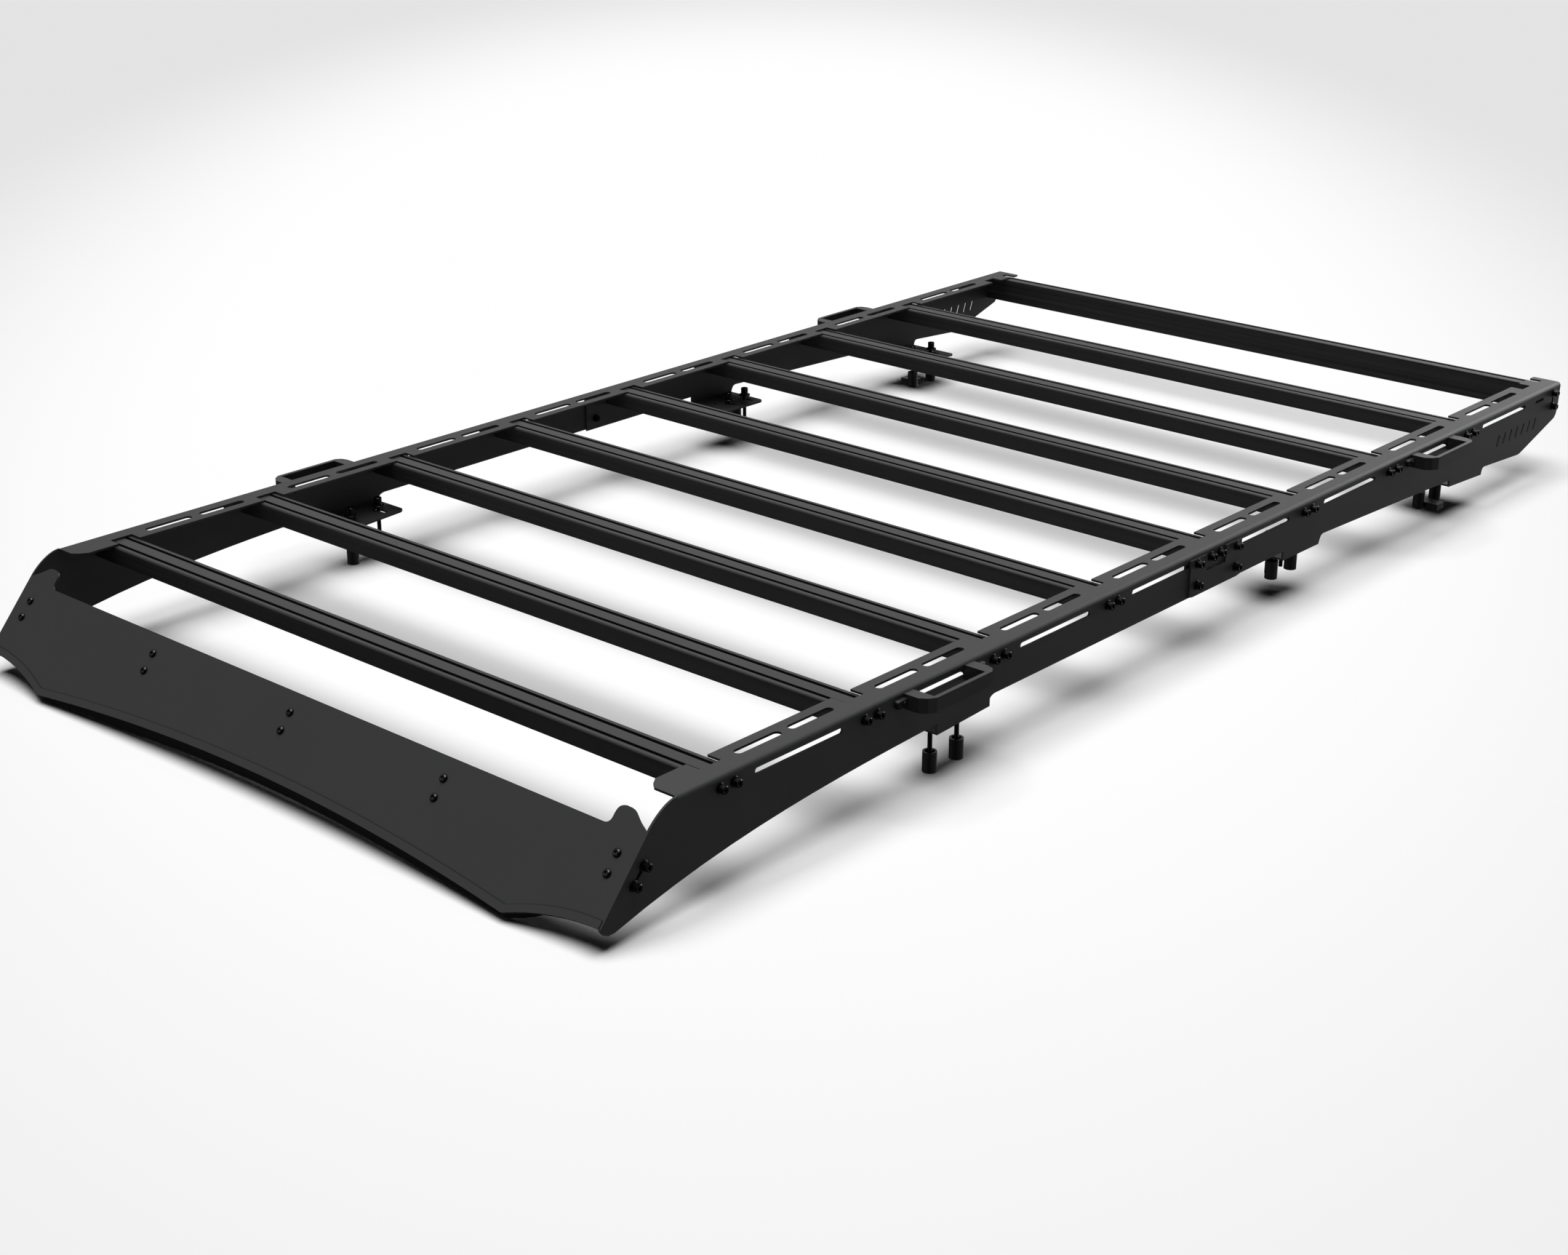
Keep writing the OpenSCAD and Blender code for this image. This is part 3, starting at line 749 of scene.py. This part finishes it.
class RACK_OT_fairing_screws(bpy.types.Operator):
    """Button screws and nuts in the fairing, and cap screws that hold its brackets to the webs"""

    bl_idname = "rack.fairing_screws"
    bl_label = "Fairing screws"

    def execute(self, context):
        sizes = context.scene.rack_hardware
        buttons = []
        backs = []
        heads = []
        nuts = []
        for down in FAIRING_SCREW_DOWN:
            for x in FAIRING_SCREW_X:
                behind = BRACKET_THICK if abs(x) > CUSP_X else FAIRING_THICK
                buttons.append((on_fairing(x, down), FAIRING_OUT))
                backs.append((on_fairing(x, down, behind), -FAIRING_OUT))
            point = on_fairing(0, down, BRACKET_SCREW_BEHIND)
            heads += both_sides(Vector((WEB_X, point.y, point.z)))
            nuts += inwards(Vector((WEB_X - 2 * SHEET, point.y, point.z)))
        face = bmesh.new()
        spread(face, buttons, button_screw, sizes)
        spread(face, backs, nut, sizes)
        finish_piece(face, "fairing_face_screws", hardware_finish())
        side = bmesh.new()
        spread(side, heads, cap_screw, sizes, sizes.head_height)
        spread(side, nuts, nut, sizes)
        finish_piece(side, "fairing_side_screws", hardware_finish())
        return {"FINISHED"}


class RACK_OT_painted_shadow_lip(bpy.types.Operator):
    """A soft black lip that hangs behind the fairing's lower edge, over the roof: a dark sheet put
    in for the shade under the fairing
    """

    bl_idname = "rack.seal_lip"
    bl_label = "Seal lip"

    def execute(self, context):
        sizes = context.scene.rack_hardware
        bm = bmesh.new()
        row = [bm.verts.new(on_fairing(x, edge_down(abs(x)) - LIP_ABOVE, LIP_BEHIND))
               for x in range(-LIP_HALF, LIP_HALF + 1, LIP_STEP)]
        edges = [bm.edges.new(pair) for pair in zip(row, row[1:])]
        for back, share in LIP_FALLS:
            made = bmesh.ops.extrude_edge_only(bm, edges=edges)["geom"]
            for v in made:
                if isinstance(v, bmesh.types.BMVert):
                    x = abs(v.co.x) / MM
                    room = on_fairing(0, edge_down(x)).z - sizes.shadow_lip_clearance
                    taper = min(1.0, 0.1 + (LIP_HALF - x) / LIP_TAPER)
                    v.co.y += back
                    v.co.z -= share * taper * min(sizes.shadow_lip_height, room)
            edges = [e for e in made if isinstance(e, bmesh.types.BMEdge)]
        bmesh.ops.solidify(bm, geom=bm.faces[:], thickness=LIP_SHEET)
        bmesh.ops.recalc_face_normals(bm, faces=bm.faces[:])
        # Painted shade: the lip's black stands in for the dark shade on the floor under the
        # fairing.
        soft = black_rubber("painted_shadow_lip_black", context.scene.rack_colours.hardware)
        finish_piece(bm, "fairing_painted_shadow_lip", soft)
        return {"FINISHED"}


class RACK_OT_loop_screws(bpy.types.Operator):
    """Screws from inside each web into the loops' legs"""

    bl_idname = "rack.loop_screws"
    bl_label = "Loop screws"

    def execute(self, context):
        sizes = context.scene.rack_hardware
        places = []
        for name in LOOPS:
            low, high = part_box(name)
            for y in (low.y + LOOP_SCREW_IN, high.y - LOOP_SCREW_IN):
                places += inwards(Vector((WEB_X - SHEET, y, (low.z + high.z) / 2)))
        bm = bmesh.new()
        spread(bm, places, cap_screw, sizes, SHORT_HEAD)
        finish_piece(bm, "loop_screws", hardware_finish())
        return {"FINISHED"}


class RACK_OT_loop_feet(bpy.types.Operator):
    """Small rounded feet ahead of and behind the loops' legs, screwed to the webs"""

    bl_idname = "rack.loop_feet"
    bl_label = "Loop feet"

    def execute(self, context):
        sizes = context.scene.rack_hardware
        places = []
        for name in LOOPS:
            low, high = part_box(name)
            for y in (low.y - LOOP_FOOT_OUT, high.y + LOOP_FOOT_OUT):
                places += both_sides(Vector((WEB_X, y, (low.z + high.z) / 2)))
        bm = bmesh.new()
        spread(bm, places, loop_foot, sizes)
        black = shade(context.scene.rack_colours.hardware, 2.0)
        moulded = powder_coat("loop_foot_coat", black, 1500.0, 0.5)
        finish_piece(bm, "loop_feet", moulded)
        return {"FINISHED"}


class RACK_OT_foot_screws(bpy.types.Operator):
    """Tall heads on wide washers at the tops of the feet's studs"""

    bl_idname = "rack.foot_screws"
    bl_label = "Foot screws"

    def execute(self, context):
        sizes = context.scene.rack_hardware
        up = Vector((0, 0, 1))
        places = [(at(side * x, y, z) + up * sizes.foot_gap, up)
                  for x, along, tops in FOOT_HEADS
                  for y, z in zip(along, tops)
                  for side in (-1, 1)]
        bm = bmesh.new()
        spread(bm, places, foot_head, sizes)
        finish_piece(bm, "foot_screws", hardware_finish())
        return {"FINISHED"}


# ---------------------------------------------------------------- studio


class RACK_OT_studio(bpy.types.Operator):
    """A pale floor with a painted pool of light, soft overhead light and the camera"""

    bl_idname = "rack.studio"
    bl_label = "Studio"

    def execute(self, context):
        scene = context.scene
        studio = scene.rack_studio
        self.floor(scene, studio)
        self.overhead(scene, studio)
        self.room(scene, studio)
        self.camera(scene, studio)
        scene.view_settings.view_transform = "Standard"
        return {"FINISHED"}

    def floor(self, scene, studio):
        """A wide pale floor just under the feet, which takes the rack's shadow. Its colour holds a
        painted pool of light and darkens outside it to a painted vignette.
        """
        bm = bmesh.new()
        bmesh.ops.create_grid(bm, x_segments=1, y_segments=1, size=FLOOR_SIZE)
        bmesh.ops.translate(bm, vec=(0, 0, -FLOOR_DROP), verts=bm.verts)
        mesh = bpy.data.meshes.new("studio_floor")
        bm.to_mesh(mesh)
        bm.free()
        floor = bpy.data.objects.new("studio_floor", mesh)
        scene.collection.objects.link(floor)
        material = bpy.data.materials.new("studio_floor_paint")
        tree = Finish(material)
        paint = scene.rack_colours.floor
        # Painted light: the floor's colour is pale in the pool and darker outside it, a painted
        # vignette.
        outer = shade(paint, studio.painted_vignette_tone)
        tree.surface({
            "Base Color": tree.blend(self.fade(tree, studio), paint, outer),
            "Roughness": 0.95, "Specular IOR Level": 0.0})
        mesh.materials.append(material)
        floor.visible_glossy = False

    def fade(self, tree, studio):
        """How far the painted pool of light on the floor has faded to the painted vignette, 0 in
        its middle and 1 outside it.
        """
        parts = tree.axes()
        x = parts.out(0) - studio.painted_light_centre[0]
        y = parts.out(1) - studio.painted_light_centre[1]
        c, s = math.cos(studio.painted_light_turn), math.sin(studio.painted_light_turn)
        along = (y * c - x * s) * (1 / studio.painted_light_radii[0])
        across = (x * c + y * s) * (1 / studio.painted_light_radii[1])
        inner, soft = 0.65, 0.7
        step = (((along ** 2.0 + across ** 2.0) ** 0.5 - inner) * (1 / soft)).clamp()
        return step * step * (3.0 - step * 2.0)

    def overhead(self, scene, studio):
        """A soft light straight above, which casts the rack's short shadows."""
        data = bpy.data.lights.new("overhead_softbox", "SUN")
        data.energy = studio.overhead
        data.angle = studio.overhead_spread
        scene.collection.objects.link(bpy.data.objects.new("overhead_softbox", data))

    def room(self, scene, studio):
        """A pale room, with soft panels that only glossy rays see."""
        world = bpy.data.worlds.new("studio_room")
        scene.world = world
        tree = Finish(world)
        way = tree.node("ShaderNodeTexCoord").out("Generated")
        level = None
        for elevation, bearing, tight, strength in PANELS:
            e, b = math.radians(elevation), math.radians(bearing)
            aim = (math.cos(e) * math.cos(b), math.cos(e) * math.sin(b), math.sin(e))
            dot = tree.node("ShaderNodeVectorMath", {"operation": "DOT_PRODUCT"}, [way, aim])
            lobe = dot.out("Value").above(0.0) ** float(tight) * (strength * studio.panels)
            level = lobe if level is None else level + lobe
        ray = tree.node("ShaderNodeLightPath")
        level = level * ray.out("Is Glossy Ray") + ray.out("Is Camera Ray") * studio.room_tone
        background = tree.node("ShaderNodeBackground", {}, {"Strength": level})
        tree.node("ShaderNodeOutputWorld", {}, {"Surface": background.out(0)})

    def camera(self, scene, studio):
        """The camera, ahead of the rack's near corner and above it."""
        data = bpy.data.cameras.new("camera")
        data.lens = studio.camera_lens
        data.sensor_width = 36
        data.sensor_fit = "HORIZONTAL"
        data.clip_end = 200
        camera = bpy.data.objects.new("camera", data)
        camera.location = studio.camera_place
        camera.rotation_euler = Euler((math.pi / 2 - CAMERA_PITCH, 0, CAMERA_BEARING))
        scene.collection.objects.link(camera)
        scene.camera = camera


class RACK_PT_panel(bpy.types.Panel):
    """Lists the rack's pieces and sizes"""

    bl_idname = "RACK_PT_panel"
    bl_label = "Roof rack"
    bl_space_type = "VIEW_3D"
    bl_region_type = "UI"
    bl_category = "Roof rack"

    def draw(self, context):
        layout = self.layout
        for operator in OPERATORS:
            layout.operator(operator.bl_idname)
        scene = context.scene
        for group in (scene.rack_hardware, scene.rack_colours, scene.rack_studio):
            box = layout.box()
            for name in group.__annotations__:
                box.prop(group, name)


GROUPS = (RackHardware, RackColours, RackStudio)
OPERATORS = (RACK_OT_coats, RACK_OT_bar_screws, RACK_OT_splice_screws, RACK_OT_fairing_screws,
             RACK_OT_painted_shadow_lip, RACK_OT_loop_screws, RACK_OT_loop_feet, RACK_OT_foot_screws,
             RACK_OT_studio)
CLASSES = GROUPS + OPERATORS + (RACK_PT_panel,)


def register():
    for cls in CLASSES:
        bpy.utils.register_class(cls)
    bpy.types.Scene.rack_hardware = PointerProperty(type=RackHardware)
    bpy.types.Scene.rack_colours = PointerProperty(type=RackColours)
    bpy.types.Scene.rack_studio = PointerProperty(type=RackStudio)


def unregister():
    del bpy.types.Scene.rack_studio
    del bpy.types.Scene.rack_colours
    del bpy.types.Scene.rack_hardware
    for cls in reversed(CLASSES):
        bpy.utils.unregister_class(cls)


def main():
    register()
    bpy.ops.rack.studio()
    bpy.ops.rack.coats()
    bpy.ops.rack.bar_screws()
    bpy.ops.rack.splice_screws()
    bpy.ops.rack.fairing_screws()
    bpy.ops.rack.seal_lip()
    bpy.ops.rack.loop_screws()
    bpy.ops.rack.loop_feet()
    bpy.ops.rack.foot_screws()


if __name__ == "__main__":
    main()
